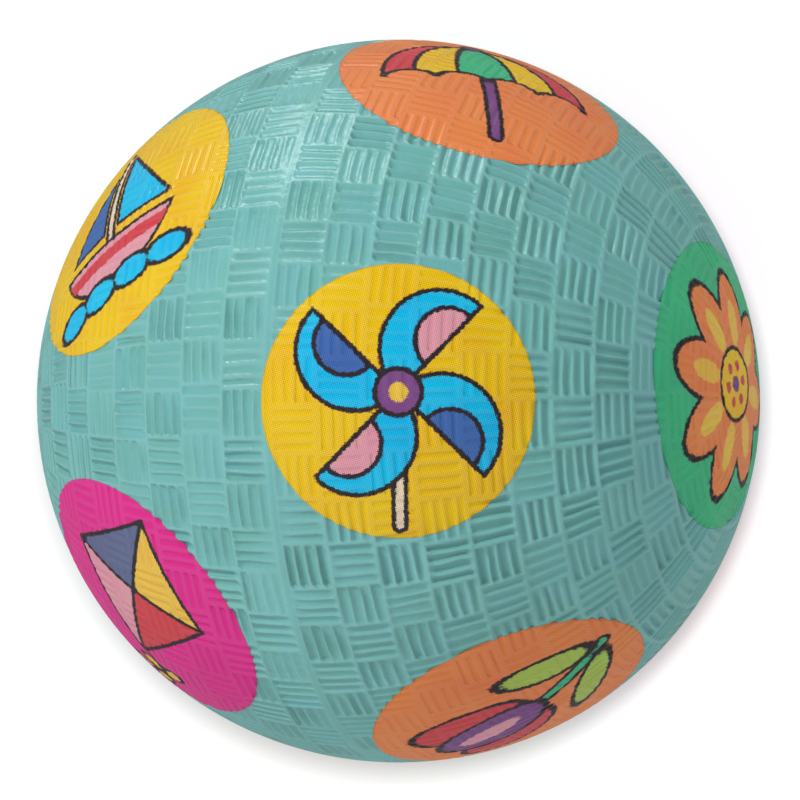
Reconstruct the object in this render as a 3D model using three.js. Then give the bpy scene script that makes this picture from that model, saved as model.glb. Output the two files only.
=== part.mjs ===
// Inflatable rubber play ball in millimetres, +Z up, with the origin at its centre.
//
// The ball is moulded in two halves that meet at a parting line in the plane x = 0, so
// the moulding axis is X. The plain half closes the +X end. The other half carries the
// valve at its -X pole: a rubber boss bonded inside the wall and a push-in plug that an
// inflating needle goes through. Round prints are laid on the outside of the ball.

import * as THREE from 'three';

// Driving dimensions
const BALL_DIAMETER = 178;
const WALL = 2; // rubber of the two halves
const PIECE_GAP = 0.3; // kept between bonded or fitted faceted pieces
const PAD_DIAMETER = 18; // flat moulded round the valve

const PLUG_HEAD_DIAMETER = 9;
const PLUG_STEM_DIAMETER = 7;
const PLUG_STEM_LENGTH = 16; // from the boss's seat inwards
const PLUG_EDGE = 0.5; // chamfers on the plug
const NEEDLE_GUIDE_DIAMETER = 2;
const NEEDLE_GUIDE_DEPTH = 8;

const BOSS_FLANGE_DIAMETER = 30;
const BOSS_FLANGE_HEIGHT = 2.5;
const BOSS_STEM_WALL = 2.7; // rubber round the plug's bore
const BOSS_FILLET = 2; // cone between the boss's stem and its flange
const BOSS_TAIL = 2; // bore left below the plug's end

const PRINT_DIAMETER = 68;
const FRONT_PRINT_DIAMETER = 61;
const PRINT_THICKNESS = 0.25;

// Where the prints go: the front one leans from +Z towards +X, and the others follow
// an icosahedron about it, turned so that one of its corners lies near each pole.
const FRONT_LEAN = 19.1; // degrees
const LAYOUT_TURN = 2; // degrees about the front print
const RING_LEAN = Math.atan(2); // between neighbouring corners of an icosahedron
const RING_COUNT = 5;

// Facet counts
const BALL_SEGMENTS = 48;
const BALL_RINGS = 13; // over a quarter turn
const VALVE_SEGMENTS = 24;
const PRINT_SEGMENTS = 24;
const PRINT_RINGS = 4;

// Finishes
const TEAL = 0x7bbbb7;
const VALVE_BLACK = 0x2b2d2e;
const YELLOW = 0xdeb828;
const GREEN = 0x37966c;
const ORANGE = 0xd9793f;
const MAGENTA = 0xcb3987;
const RUBBER_ROUGHNESS = 0.55;
const INK_ROUGHNESS = 0.45;

// Prints by place. The far ring has no print where the valve is.
const FRONT_PRINT = ['print_pinwheel', YELLOW];
const NEAR_PRINTS = [
  ['print_flower', GREEN],
  ['print_parasol', ORANGE],
  ['print_sailboat', YELLOW],
  ['print_kite', MAGENTA],
  ['print_tulip', ORANGE],
];
const FAR_PRINTS = [
  ['print_spinning_top', MAGENTA],
  ['print_leaf', GREEN],
  null,
  ['print_balloon', YELLOW],
  ['print_heart', MAGENTA],
];
const BACK_PRINT = ['print_moon', ORANGE];

// Sizes that follow from the driving dimensions
const outerRadius = BALL_DIAMETER / 2;
const innerRadius = outerRadius - WALL;
const padRadius = PAD_DIAMETER / 2;
const padLevel = levelOnSphere(outerRadius, padRadius);
const headRadius = PLUG_HEAD_DIAMETER / 2;
const plugHoleRadius = headRadius + PIECE_GAP;
const stemRadius = PLUG_STEM_DIAMETER / 2;
const boreRadius = stemRadius + PIECE_GAP;
const seatLevel = innerRadius; // the boss carries the plug's head at the inside of the wall
const plugEndLevel = seatLevel - PLUG_STEM_LENGTH;

const poleDirection = new THREE.Vector3(0, 1, 0); // axis of every lathe profile
const plainPole = new THREE.Vector3(1, 0, 0);
const valvePole = new THREE.Vector3(-1, 0, 0);

// Height above the centre of the point of a sphere that lies a given way off its axis.
function levelOnSphere(radius, offAxis) {
  return Math.sqrt(radius * radius - offAxis * offAxis);
}

// Profile points on a circle about the ball's centre, by their angle from the pole.
function arc(radius, fromAngle, toAngle, steps) {
  const points = [];
  for (let i = 0; i <= steps; i += 1) {
    const angle = THREE.MathUtils.lerp(fromAngle, toAngle, i / steps);
    points.push(new THREE.Vector2(radius * Math.sin(angle), radius * Math.cos(angle)));
  }
  return points;
}

// Profile points as [off axis, level] pairs.
function corners(...pairs) {
  return pairs.map(([offAxis, level]) => new THREE.Vector2(offAxis, level));
}

function rubber(color) {
  return new THREE.MeshStandardMaterial({ color, roughness: RUBBER_ROUGHNESS, metalness: 0 });
}

function ink(color) {
  return new THREE.MeshStandardMaterial({ color, roughness: INK_ROUGHNESS, metalness: 0 });
}

// A solid of revolution whose axis points from the ball's centre along a direction.
function turned(name, profile, segments, direction, material) {
  const mesh = new THREE.Mesh(new THREE.LatheGeometry(profile, segments), material);
  mesh.name = name;
  mesh.quaternion.setFromUnitVectors(poleDirection, direction);
  return mesh;
}

// Angle from the pole at which a circle about the centre meets the half's rim.
function rimAngle(radius) {
  return Math.acos(PIECE_GAP / 2 / radius);
}

function plainHalf() {
  const profile = [
    ...arc(innerRadius, 0, rimAngle(innerRadius), BALL_RINGS),
    ...arc(outerRadius, rimAngle(outerRadius), 0, BALL_RINGS),
  ];
  return turned('shell_half_plain', profile, BALL_SEGMENTS, plainPole, rubber(TEAL));
}

// The same half with a flat pad at its pole and a hole for the head of the plug.
function valveHalf() {
  const holeAngle = Math.asin(plugHoleRadius / innerRadius);
  const padAngle = Math.asin(padRadius / outerRadius);
  const profile = [
    ...arc(innerRadius, holeAngle, rimAngle(innerRadius), BALL_RINGS),
    ...arc(outerRadius, rimAngle(outerRadius), padAngle, BALL_RINGS),
    ...corners([plugHoleRadius, padLevel]),
  ];
  profile.push(profile[0].clone());
  return turned('shell_half_valve', profile, BALL_SEGMENTS, valvePole, rubber(TEAL));
}

// A flange bonded to the inside of the wall, and a stem round the plug's bore. A short
// spigot at its top enters the hole in the wall and carries the plug's head.
function valveBoss() {
  const bondRadius = innerRadius - PIECE_GAP;
  const flangeRadius = BOSS_FLANGE_DIAMETER / 2;
  const spigotRadius = plugHoleRadius - PIECE_GAP;
  const bossStemRadius = boreRadius + BOSS_STEM_WALL;
  const underside = bondRadius - BOSS_FLANGE_HEIGHT;
  const tail = plugEndLevel - BOSS_TAIL;
  const bondFrom = Math.asin(flangeRadius / bondRadius);
  const bondTo = Math.asin(spigotRadius / bondRadius);
  const profile = [
    ...corners(
      [boreRadius, tail],
      [bossStemRadius, tail],
      [bossStemRadius, underside - BOSS_FILLET],
      [bossStemRadius + BOSS_FILLET, underside],
      [flangeRadius, underside],
    ),
    ...arc(bondRadius, bondFrom, bondTo, 3),
    ...corners([spigotRadius, seatLevel], [boreRadius, seatLevel]),
  ];
  profile.push(profile[0].clone());
  return turned('valve_boss', profile, VALVE_SEGMENTS, valvePole, rubber(VALVE_BLACK));
}

// A headed plug, flush with the pad, with a blind guide for the needle.
function valvePlug() {
  const underHead = seatLevel + PIECE_GAP;
  const guideRadius = NEEDLE_GUIDE_DIAMETER / 2;
  const guideEnd = padLevel - NEEDLE_GUIDE_DEPTH;
  const profile = corners(
    [0, plugEndLevel],
    [stemRadius - PLUG_EDGE, plugEndLevel],
    [stemRadius, plugEndLevel + PLUG_EDGE],
    [stemRadius, underHead],
    [headRadius, underHead],
    [headRadius, padLevel - PLUG_EDGE],
    [headRadius - PLUG_EDGE, padLevel],
    [guideRadius + PLUG_EDGE, padLevel],
    [guideRadius, padLevel - PLUG_EDGE],
    [guideRadius, guideEnd],
    [0, guideEnd],
  );
  return turned('valve_plug', profile, VALVE_SEGMENTS, valvePole, rubber(VALVE_BLACK));
}

// A thin round cap of ink that follows the ball.
function print([name, color], diameter, direction) {
  const filmRadius = outerRadius + PIECE_GAP;
  const edgeAngle = Math.asin(diameter / 2 / outerRadius);
  const profile = [
    ...arc(filmRadius, 0, edgeAngle, PRINT_RINGS),
    ...arc(filmRadius + PRINT_THICKNESS, edgeAngle, 0, PRINT_RINGS),
  ];
  return turned(name, profile, PRINT_SEGMENTS, direction, ink(color));
}

// Direction that leans away from the front print's, turned about it.
function printDirection(lean, turn) {
  const front = new THREE.Vector3(0, 0, 1);
  const leanAxis = new THREE.Vector3(0, 1, 0);
  return front
    .clone()
    .applyAxisAngle(leanAxis, lean)
    .applyAxisAngle(front, turn)
    .applyAxisAngle(leanAxis, THREE.MathUtils.degToRad(FRONT_LEAN));
}

function prints() {
  const step = (2 * Math.PI) / RING_COUNT;
  const firstTurn = THREE.MathUtils.degToRad(LAYOUT_TURN);
  const places = [
    [FRONT_PRINT, 0, 0],
    ...NEAR_PRINTS.map((piece, i) => [piece, RING_LEAN, firstTurn + step * i]),
    ...FAR_PRINTS.map((piece, i) => [piece, Math.PI - RING_LEAN, firstTurn + step * (i + 0.5)]),
    [BACK_PRINT, Math.PI, 0],
  ];
  return places
    .filter(([piece]) => piece)
    .map(([piece, lean, turn]) => {
      const diameter = piece === FRONT_PRINT ? FRONT_PRINT_DIAMETER : PRINT_DIAMETER;
      return print(piece, diameter, printDirection(lean, turn));
    });
}

const ball = new THREE.Group();
ball.add(plainHalf(), valveHalf(), valveBoss(), valvePlug(), ...prints());

export default ball;
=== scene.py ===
"""Rubber play ball: two moulded halves with a woven relief, round ink prints and a plug valve.

Everything is made round the moulding axis, X. A point of the skin is given by its latitude,
from 0 at the parting line to a quarter turn at the pole of its half, its longitude round the
axis, and its distance from the ball's centre. Lengths are metres unless a name ends in _mm.
"""

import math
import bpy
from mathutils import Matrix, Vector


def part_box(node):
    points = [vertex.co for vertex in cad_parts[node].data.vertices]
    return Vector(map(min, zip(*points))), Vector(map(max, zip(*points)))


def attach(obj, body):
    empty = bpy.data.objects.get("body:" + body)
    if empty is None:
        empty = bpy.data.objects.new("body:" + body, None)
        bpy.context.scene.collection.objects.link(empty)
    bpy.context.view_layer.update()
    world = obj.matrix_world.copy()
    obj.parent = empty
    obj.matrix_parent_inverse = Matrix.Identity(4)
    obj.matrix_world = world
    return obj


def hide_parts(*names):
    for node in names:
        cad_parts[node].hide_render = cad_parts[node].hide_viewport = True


bl_info = {
    "name": "Rubber Play Ball",
    "version": (1, 0, 0),
    "blender": (4, 5, 0),
    "location": "View3D > Sidebar > Play Ball",
    "description": "Builds a woven rubber play ball with ink prints and a plug valve",
    "category": "Object",
}

import bpy
import numpy as np
from bpy.props import FloatProperty, FloatVectorProperty, IntProperty, PointerProperty
from mathutils import Matrix, Vector

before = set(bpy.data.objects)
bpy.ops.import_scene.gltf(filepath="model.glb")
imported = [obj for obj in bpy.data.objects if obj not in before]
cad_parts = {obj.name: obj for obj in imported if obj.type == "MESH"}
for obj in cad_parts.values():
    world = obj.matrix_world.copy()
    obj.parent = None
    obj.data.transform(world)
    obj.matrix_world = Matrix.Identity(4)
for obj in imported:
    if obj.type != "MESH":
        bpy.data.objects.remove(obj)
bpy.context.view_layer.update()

# Sizes that the frame gives
SHELL_LOW, SHELL_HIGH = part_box("shell_half_valve")
BOSS_LOW, BOSS_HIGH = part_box("valve_boss")
PLUG_LOW, PLUG_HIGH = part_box("valve_plug")
BALL_RADIUS = (SHELL_HIGH.y - SHELL_LOW.y) / 2
INNER_RADIUS = -BOSS_LOW.x
PAD_LEVEL = -SHELL_LOW.x
PAD_RADIUS = math.sqrt(BALL_RADIUS ** 2 - PAD_LEVEL ** 2)
HEAD_RADIUS = (PLUG_HIGH.y - PLUG_LOW.y) / 2
PLUG_END = -PLUG_HIGH.x
BOSS_END = -BOSS_HIGH.x
FLANGE_RADIUS = (BOSS_HIGH.y - BOSS_LOW.y) / 2

# Details of the relief that are the same on every ball
MM = 0.001
GROOVES = 4  # in a cell
SHELL_PARTS = 1  # into which the weave's flat stretches are cut on the shell
PRINT_PARTS = 2  # the same under the prints
LENGTH_STEPS = 3  # along a groove, for each of those parts
SEAM_LAND = 0.6 * MM  # plain skin beside the parting line
FLASH_TOP = 0.1 * MM  # half the width of the flash on the parting line, at its top
FLASH_FOOT = 0.4 * MM  # the same at its foot
# The flash takes most of the grooves' darker teal, which is partly painted shade
FLASH_TONE = 0.8  # relief that the flash is coloured by, near that of a groove's floor
POLE_LAND = 10.7 * MM  # plain skin round a pole
INNER_SEGMENTS = 96
INNER_ROWS = 24
INNER_CAP = 0.96  # of a quarter turn, where the inside's row next to the plain pole lies
SHARP_ANGLE = math.radians(66)  # past which an edge is shaded sharp

# How uneven the mould is, as it is cut by hand: shares of a cell, unless said otherwise
MOULD_SEEDS = {1: 7, -1: 11}  # of the chance by which each half is uneven
RING_STRAY = 0.12  # of a ring off its place, either way
BORDER_STRAY = 0.05  # of a border between two cells, either way
SEAM_SHIFT = 0.4  # of the valve half's cells along the seam
LEAST_DEPTH = 0.65  # of a cell, as a share of the weave's depth
DEPTH_RANGE = 0.95  # what the deepest cell has more
DEPTH_BIAS = 1.3  # power that makes shallow cells more common than deep ones
DEPTH_LOSS = 0.3  # share of its cell's depth that the shallowest groove lacks
WIDTH_GAIN = 0.12  # share of their mouth by which the widest cells' grooves are wider
WIDTH_STRAY = 0.08  # share of its mouth by which a groove differs from its cell's others
SLOPE_STRAY = 0.5  # share of its depth by which a cell gets deeper or shallower across it
STRAY_SHARES = (0.5, 0.8, 1.0, 0.4)  # of the wander, in a ridge's shift, bow, lean and wave
END_STRAY = 0.012  # of a groove's end, inwards
SEAM_FADES = {1: 0.35, -1: 0.65}  # share of the relief that each half lacks at the seam
PIT_DEPTH = 0.3 * MM  # at the end of a groove, below its floor
PIT_CHANCE = 0.12  # for each groove
LEAST_RUN_OUT = 0.03  # over which the shortest end of a groove rises
RUN_OUT_RANGE = 0.1  # what the longest has more
MOST_INSET = 0.015  # by which a cell's grooves are drawn towards its middle
RING_GAP = 0.004  # of land at each edge of a ring

# Details of the prints and the valve
RIM_FADE_MM = 2.5  # over which a print would come all the way down into the grooves
RIM_SHARE = 0.4  # of its fill that is left at its rim
FIT = 0.3 * MM  # between the plug and what it goes through
VALVE_SEGMENTS = 72
VALVE_EDGE = 0.4 * MM  # that is rounded off the boss and the plug

# The stage
PICTURE_PIXELS = 800
FRAME_SHIFT_PIXELS = (1.7, 1.0)  # of the picture's frame to the right and up
FLOOR_REACH = 3.0  # from the ball to the sides of the floor
FLOOR_GAP = 0.15 * MM  # below the ball, for the film of the lowest print

# The front print leans from +Z towards +X. The others follow an icosahedron about it.
FRONT_LEAN = math.radians(19.1)
LAYOUT_TURN = math.radians(2)
RING_LEAN = math.atan(2)
RING_COUNT = 5

INKS = {
    "yellow": "#e9c010",
    "green": "#38bc82",
    "orange": "#e88646",
    "magenta": "#dc248a",
    "cyan": "#02bce6",
    "blue": "#3d6aac",
    "violet": "#7e4a86",
    "slate": "#5f6a8c",
    "cream": "#e6d2b4",
    "pink": "#dd9aa4",
    "red": "#cf4048",
    "gold": "#e8c044",
    "lime": "#a9c552",
    "brown": "#6a5a34",
    "black": "#2b2328",
}


def linear(code):
    """Turn an sRGB hex colour into linear red, green, blue and alpha."""
    channels = np.array([int(code[i:i + 2], 16) for i in (1, 3, 5)]) / 255
    low = channels / 12.92
    high = ((channels + 0.055) / 1.055) ** 2.4
    return (*np.where(channels <= 0.04045, low, high), 1.0)


class WeaveSettings(bpy.types.PropertyGroup):
    """Sizes of the moulded relief."""

    rings: IntProperty(
        name="Rings", description="Rings of woven cells on each half", default=12, min=4, max=20)
    cells: IntProperty(
        name="Cells at the seam", description="Woven cells round the ball at the parting line",
        default=52, min=8, max=80)
    depth: FloatProperty(
        name="Groove depth", description="How far the grooves go below the land",
        default=0.62 * MM, unit="LENGTH", precision=5)
    mouth: FloatProperty(
        name="Groove mouth", description="Width of a groove at the land, as a share of its pitch",
        default=0.76, subtype="FACTOR", min=0.2, max=0.78)
    floor: FloatProperty(
        name="Groove floor", description="Width of a groove's floor, as a share of its pitch",
        default=0.32, subtype="FACTOR", min=0.05, max=0.7)
    spread: FloatProperty(
        name="Spread", description="How much narrower some cells' grooves are than those of others",
        default=0.5, subtype="FACTOR", min=0.0, max=0.7)
    wander: FloatProperty(
        name="Wander", description="How far a ridge strays from its line, as a share of the pitch",
        default=0.12, subtype="FACTOR", min=0.0, max=0.3)
    flash: FloatProperty(
        name="Flash", description="Height of the moulding flash on the parting line",
        default=0.07 * MM, unit="LENGTH", precision=5)


class PrintSettings(bpy.types.PropertyGroup):
    """Sizes of the ink prints."""

    width: FloatProperty(
        name="Print width", description="Width of a round print", default=68 * MM, unit="LENGTH")
    front_width: FloatProperty(
        name="Front print width", description="Width of the print in front", default=61 * MM,
        unit="LENGTH")
    film: FloatProperty(
        name="Ink film", description="Thickness of the ink", default=0.05 * MM, unit="LENGTH",
        precision=5)
    fill: FloatProperty(
        name="Groove fill", description="How far the ink fills the grooves under it",
        default=0.8, subtype="FACTOR", min=0.0, max=0.95)
    outline: FloatProperty(
        name="Outline", description="Width of the black key line", default=1.1 * MM,
        unit="LENGTH", precision=5)
    screen: FloatProperty(
        name="Screen", description="Pitch of the printing screen's dots", default=0.45 * MM,
        unit="LENGTH", precision=5)


class FinishSettings(bpy.types.PropertyGroup):
    """Colours of the rubber."""

    # The land is paler than the groove: partly a rubbed bloom, and partly painted shade that darkens the
    # grooves
    land: FloatVectorProperty(
        name="Teal land", description="Teal rubber where it is rubbed", subtype="COLOR", size=4,
        default=linear("#75b5b2"), min=0.0, max=1.0)
    groove: FloatVectorProperty(
        name="Teal groove", description="Teal rubber on the floors of the grooves", subtype="COLOR",
        size=4, default=linear("#6db1ae"), min=0.0, max=1.0)
    valve: FloatVectorProperty(
        name="Valve rubber", description="Black rubber of the valve", subtype="COLOR", size=4,
        default=linear("#2b2d2e"), min=0.0, max=1.0)


class StageSettings(bpy.types.PropertyGroup):
    """The camera and the light."""

    distance: FloatProperty(
        name="Camera distance", description="From the camera to the ball's centre",
        default=9 * BALL_RADIUS, unit="LENGTH")
    lens: FloatProperty(
        name="Lens", description="Focal length on a 36 mm sensor", default=145.5, min=10, max=400,
        unit="CAMERA")
    roll: FloatProperty(
        name="Roll", description="Turn of the camera about its view", default=math.radians(0.9),
        subtype="ANGLE")
    key: FloatProperty(
        name="Key light", description="Power of the soft box at the upper left",
        default=3.2, min=0.0, unit="POWER")
    side: FloatProperty(
        name="Side light", description="Power of the lamp at the upper right",
        default=1.5, min=0.0, unit="POWER")
    glint: FloatProperty(
        name="Glint light", description="Power of the lamp above that shows as a sheen alone",
        default=2.5, min=0.0, unit="POWER")
    front: FloatProperty(
        name="Floor light", description="Power of the lamp beside the camera, for the floor alone",
        default=5.0, min=0.0, unit="POWER")
    glow: FloatProperty(
        name="Floor glow", description="What the floor adds for the camera, so that it is white",
        default=0.2, min=0.0)
    sky: FloatProperty(
        name="Sky", description="Mean strength of the light from all round", default=0.61, min=0.0)
    slant: FloatProperty(
        name="Sky slant", description="How much stronger the sky is at the lower left",
        default=0.58, min=0.0)


# Meshes


def make_piece(name, points, triangles, material, body):
    """Put points and triangles into a mesh object that rides on a body."""
    mesh = bpy.data.meshes.new(name)
    mesh.vertices.add(len(points))
    mesh.vertices.foreach_set("co", np.asarray(points, np.float32).ravel())
    mesh.loops.add(triangles.size)
    mesh.loops.foreach_set("vertex_index", np.asarray(triangles, np.int32).ravel())
    mesh.polygons.add(len(triangles))
    mesh.polygons.foreach_set("loop_start", np.arange(0, triangles.size, 3, dtype=np.int32))
    mesh.update(calc_edges=True)
    mesh.shade_smooth()
    mesh.set_sharp_from_angle(angle=SHARP_ANGLE)
    mesh.materials.append(material)
    piece = bpy.data.objects.new(name, mesh)
    bpy.context.scene.collection.objects.link(piece)
    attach(piece, body)
    return piece


def set_attribute(piece, name, values):
    """Store one number for each point of a piece."""
    layer = piece.data.attributes.new(name, "FLOAT", "POINT")
    layer.data.foreach_set("value", np.asarray(values, np.float32))


def round_edges(piece, points, triangles, soft):
    """Shade soft points of a skin as rounded edges.

    A point's normal is the mean of its faces' normals, each counted by how far it leans from
    the skin, so that walls keep their slope and ridges look round. Down in the grooves it is
    drawn most of the way back to the skin's own, so that the floors look flat.
    """
    upright_weight = 0.02  # of a face that does not lean
    skin_weight = 2  # of the skin's own normal in the grooves
    land_depth = 0.02 * MM  # up to which a point counts as land
    corners = points[triangles]
    faces = np.cross(corners[:, 1] - corners[:, 0], corners[:, 2] - corners[:, 0])
    faces /= np.linalg.norm(faces, axis=1, keepdims=True)
    outward = corners.sum(1)
    outward /= np.linalg.norm(outward, axis=1, keepdims=True)
    lean = upright_weight + 1 - np.sum(faces * outward, axis=1, keepdims=True)
    total = np.zeros(points.shape)
    np.add.at(total, triangles.ravel(), np.repeat(faces * lean, 3, axis=0))
    total /= np.linalg.norm(total, axis=1, keepdims=True)
    radius = np.linalg.norm(points, axis=1, keepdims=True)
    low = radius < BALL_RADIUS - land_depth
    total = np.where(low, total + skin_weight * points / radius, total)
    total /= np.linalg.norm(total, axis=1, keepdims=True)
    normals = np.zeros(triangles.size * 3, np.float32)
    piece.data.corner_normals.foreach_get("vector", normals)
    normals = normals.reshape(-1, 3)
    loops = triangles.ravel()
    normals[soft[loops]] = total[loops][soft[loops]]
    piece.data.normals_split_custom_set(normals.tolist())


def zipped(lower, lower_turn, upper, upper_turn):
    """Triangles of the strip between two closed rows of points.

    Both rows are walked round together. The next triangle always takes the row whose next
    point comes first, so each step of one row is joined to the point that the other row
    has reached by then.
    """
    start = lower_turn[0]
    ahead = np.mod(upper_turn - start, 2 * np.pi)
    order = np.argsort(ahead)
    low_turn = np.append(lower_turn, start + 2 * np.pi)
    high_turn = np.append(ahead[order], ahead[order[0]] + 2 * np.pi) + start
    low = np.append(lower, lower[0])
    high = np.append(upper[order], upper[order[0]])
    reached_high = np.searchsorted(high_turn[1:], low_turn[1:], "left")
    reached_low = np.searchsorted(low_turn[1:], high_turn[1:], "right")
    below = np.stack([low[:-1], low[1:], high[reached_high]], 1)
    above = np.stack([high[1:], high[:-1], low[reached_low]], 1)
    return np.concatenate([below, above])


class Skin:
    """Rows of points round the axis, joined in the order in which they are added.

    A place is a latitude, a longitude, a distance from the centre and the relief there,
    from 0 on the land to 1 on a groove's floor.
    """

    def __init__(self):
        self.places = np.zeros((0, 4))
        self.triangles = np.zeros((0, 3), int)
        self.last = None

    def add(self, latitude, longitude, radius, relief=0.0):
        """Add a grid of rows, with its first row zipped to the last row of the grid before it."""
        parts = np.broadcast_arrays(latitude, longitude, radius, relief)
        index = len(self.places) + np.arange(parts[0].size).reshape(parts[0].shape)
        self.places = np.concatenate([self.places, np.stack([p.ravel() for p in parts], 1)])
        if self.last is not None:
            self.close(self.last, index[0])
        low, high = index[:-1], index[1:]
        low_next, high_next = np.roll(low, -1, 1), np.roll(high, -1, 1)
        first = np.stack([low, low_next, high_next], -1).reshape(-1, 3)
        second = np.stack([low, high_next, high], -1).reshape(-1, 3)
        self.triangles = np.concatenate([self.triangles, first, second])
        self.last = index[-1]
        return index

    def close(self, lower, upper):
        """Zip two rows of points together."""
        strip = zipped(lower, self.places[lower, 1], upper, self.places[upper, 1])
        self.triangles = np.concatenate([self.triangles, strip])

    def pole(self, row, radius, first):
        """Join a row to a point on the axis, which comes first or last in the order of rows."""
        tip = len(self.places)
        self.places = np.concatenate([self.places, [[math.pi / 2, 0, radius, 0]]])
        near, far = (np.roll(row, -1), row) if first else (row, np.roll(row, -1))
        fan = np.stack([near, far, np.full(len(row), tip)], 1)
        self.triangles = np.concatenate([self.triangles, fan])

    def points(self, side):
        """Positions: the axis carries the sine of the latitude and its circle the cosine.

        Side is 1 for the half towards +X. The other half is the same, turned half a turn
        about Y.
        """
        latitude, longitude, radius, _ = self.places.T
        along = np.sin(latitude) * radius
        out = np.cos(latitude) * radius
        return np.stack(
            [side * along, out * np.cos(longitude), side * out * np.sin(longitude)], 1)


# Woven skin


def groove_lines(weave, parts):
    """Lines across a cell, from 0 to 1, at the feet of its grooves' walls.

    The cell has equal pitches, with a groove in the middle of each: its wall falls from the
    mouth to the floor and rises again. Each flat stretch is cut into equal parts. Gives each
    line's place, its depth from 0 to 1 and its groove's number.
    """
    pitch = 1 / GROOVES
    middles = (np.arange(GROOVES) + 0.5) * pitch
    walls = pitch / 2 * np.array([-weave.mouth, -weave.floor, weave.floor, weave.mouth])
    places = np.concatenate([[0], (middles[:, None] + walls).ravel(), [1]])
    depths = np.concatenate([[0], np.tile([0, 1, 1, 0], GROOVES), [0]])
    numbers = np.concatenate([[0], np.repeat(np.arange(GROOVES), len(walls)), [GROOVES - 1]])
    flat = np.flatnonzero(depths[:-1] == depths[1:])
    cuts = np.arange(1, parts) / parts
    added = places[flat, None] + np.diff(places)[flat, None] * cuts
    order = np.argsort(np.concatenate([places, added.ravel()]))
    again = np.repeat(flat, parts - 1)
    return (np.concatenate([places, added.ravel()])[order],
            np.concatenate([depths, depths[again]])[order],
            np.concatenate([numbers, numbers[again]])[order])


def end_lines(weave, steps):
    """Lines along a cell's grooves: the land, the end wall, equal steps, and the same again."""
    top = (1 - weave.mouth) / 2 / GROOVES
    foot = (1 - weave.floor) / 2 / GROOVES
    return np.concatenate([[0, top], np.linspace(foot, 1 - foot, steps + 1), [1 - top, 1]])


def ring_plans(weave, side):
    """What each ring of a half holds, from the seam to the pole.

    A ring has an even number of about square cells. On top of the ball the cells of
    neighbouring rings lie side by side, turned crosswise. Every cell has its own width, depth,
    slope and inset, every groove its own width, depth, ends and run-outs, and every ridge
    between two grooves its own shift, bow, lean and wave. The relief fades towards the seam,
    and some grooves end in a pit.
    """
    chance = np.random.default_rng(MOULD_SEEDS[side])
    south = SEAM_LAND / BALL_RADIUS
    north = math.acos(POLE_LAND / BALL_RADIUS)
    edges = np.linspace(south, north, weave.rings + 1)
    for number, (low, high) in enumerate(zip(edges[:-1], edges[1:])):
        cells = 2 * max(2, round(weave.cells / 2 * math.cos((low + high) / 2)))
        step = 2 * math.pi / cells
        seam_shift = 0 if side > 0 else SEAM_SHIFT
        shift = number % 2 + seam_shift + chance.uniform(-RING_STRAY, RING_STRAY)
        first = side * math.pi / 2 + step * shift
        borders = np.arange(cells) + chance.uniform(-BORDER_STRAY, BORDER_STRAY, cells)
        depth = LEAST_DEPTH + DEPTH_RANGE * chance.random((cells, 1)) ** DEPTH_BIAS
        depth = depth * (1 - DEPTH_LOSS * chance.random((cells, GROOVES)) ** 2)
        width = WIDTH_GAIN - weave.spread * chance.random((cells, 1))
        width = width + WIDTH_STRAY * chance.uniform(-1, 1, (cells, GROOVES))
        kinds = len(STRAY_SHARES)
        stray = np.zeros((kinds, cells, GROOVES + 1))
        stray[:, :, 1:-1] = weave.wander * chance.uniform(-1, 1, (kinds, cells, GROOVES - 1))
        # The two sides of a cell only shift and bow, inwards
        stray[:2, :, 0] = weave.wander * chance.random((2, cells))
        stray[:2, :, -1] = -weave.wander * chance.random((2, cells))
        yield {
            "low": low, "high": high, "cells": cells,
            "borders": first + step * np.append(borders, borders[0] + cells),
            "depth": weave.depth * depth,
            "width": 1 + width,
            "slope": chance.uniform(-SLOPE_STRAY, SLOPE_STRAY, (2, cells)),
            "stray": stray * np.array(STRAY_SHARES)[:, None, None],
            "ends": END_STRAY * chance.random((2, cells, GROOVES)),
            "fade": 0.0 if number else SEAM_FADES[side],
            "pits": PIT_DEPTH * (chance.random((cells, GROOVES)) < PIT_CHANCE),
            "run_out": LEAST_RUN_OUT + RUN_OUT_RANGE * chance.random((2, cells, GROOVES)) ** 2,
            "inset": 1 - MOST_INSET * chance.random((2, cells)),
        }


def sideways_shift(weave, plan, cell, pitches, way):
    """How far points at a number of pitches across a cell move sideways, in pitches.

    A groove is stretched about its middle by its width, and the land beside it takes up the
    rest of the pitch. A ridge is moved by its shift, its bow, half a sine wave, its lean, a
    straight line, and its wave, a whole sine wave, over the way along it. What lies between
    two ridges moves with both, by how near it is to each.
    """
    ridge = np.clip(pitches.astype(int), 0, GROOVES - 1)
    off = pitches - ridge - 0.5
    edge = weave.mouth / 2
    wide = edge * plan["width"][cell, ridge]
    land = wide + (np.abs(off) - edge) * (0.5 - wide) / (0.5 - edge)
    stretch = np.where(np.abs(off) < edge, off * wide / edge, np.sign(off) * land) - off
    shapes = np.stack(np.broadcast_arrays(
        1.0, np.sin(np.pi * way), way - 0.5, np.sin(2 * np.pi * way)))
    before, after = plan["stray"][:, cell, ridge], plan["stray"][:, cell, ridge + 1]
    return stretch + (shapes * (before + (after - before) * (pitches - ridge))).sum(0)


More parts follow.
